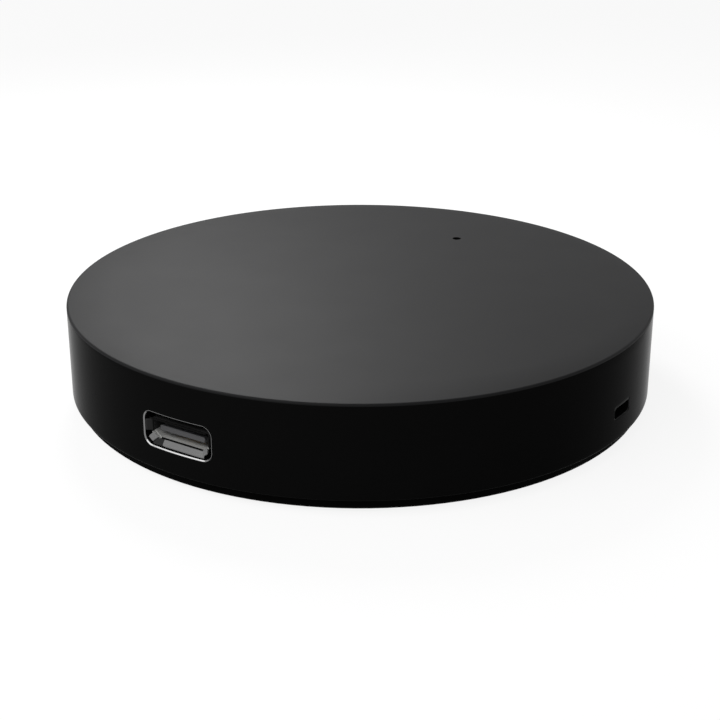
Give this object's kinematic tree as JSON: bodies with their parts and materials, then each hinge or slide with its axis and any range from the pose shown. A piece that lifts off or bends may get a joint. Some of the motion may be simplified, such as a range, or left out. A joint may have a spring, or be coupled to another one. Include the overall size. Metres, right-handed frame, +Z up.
{
  "type": "smart infrared blaster",
  "caption": "Low round puck with a dark infrared-passing cover over a board, a power socket and a reset slot in its side wall, and a rubber foot.",
  "frame": {"origin": "centre of the foot pad's underside, where the puck rests on the table", "axes": "+Z up along the puck's axis, -Y out of the power socket, +X out of the reset slot, pinhole on the +Y side of the top"},
  "size_m": [0.066, 0.066, 0.012],
  "materials": {
    "cover": "infrared-passing polycarbonate, polished wall and fine matt top",
    "base": "moulded ABS, fine matt texture",
    "foot": "soft elastomer sheet, matt",
    "bezel": "bright plated",
    "screw": "zinc plated",
    "board": "green solder mask on glass-fibre laminate",
    "socket_sheet": "stamped stainless sheet, bright",
    "socket_moulding": "moulded liquid-crystal polymer",
    "gold": "gold flash on copper alloy",
    "switch_moulding": "moulded nylon",
    "tin": "tinned copper alloy",
    "plunger": "moulded nylon, black",
    "status_lens": "cast resin",
    "clear": "clear acrylic",
    "lens": "dark cast epoxy",
    "radio_board": "blue-black solder mask on laminate",
    "can": "tinned steel sheet",
    "package": "moulded epoxy, matt",
    "copper": "plated copper",
    "can_aluminium": "drawn aluminium",
    "ceramic": "fired ceramic",
    "resistor": "glazed thick film"
  },
  "bodies": {
    "housing": {"top_cover": "cover", "base_plate": "base", "foot_pad": "foot", "socket_bezel": "bezel", "base_screws": "screw", "board_screws": "screw", "circuit_board": "board", "socket_shell": "socket_sheet", "socket_insulator": "socket_moulding", "socket_contacts": "gold", "reset_housing": "switch_moulding", "reset_frame": "socket_sheet", "reset_terminals": "tin", "reset_dome": "socket_sheet", "status_light": "status_lens", "light_pipe": "clear", "ir_emitters": "lens", "emitter_leads": "tin", "ir_receiver": "lens", "receiver_leads": "tin", "radio_board": "radio_board", "radio_shield": "can", "radio_chip": "package", "memory_chip": "package", "radio_crystal": "can", "radio_antenna": "copper", "regulator": "package", "regulator_leads": "tin", "smoothing_capacitor": "can_aluminium", "capacitor_base": "package", "chip_capacitors": "ceramic", "chip_resistors": "resistor", "driver_transistors": "package", "driver_leads": "tin", "surge_diode": "package"},
    "plunger": {"reset_plunger": "plunger"}
  },
  "joints": [
    {"name": "reset_press", "type": "slide", "parent": "housing", "child": "plunger", "axis": [-1, 0, 0], "range_m": [0, 0.00025], "stiffness_N_per_m": 6400}
  ]
}
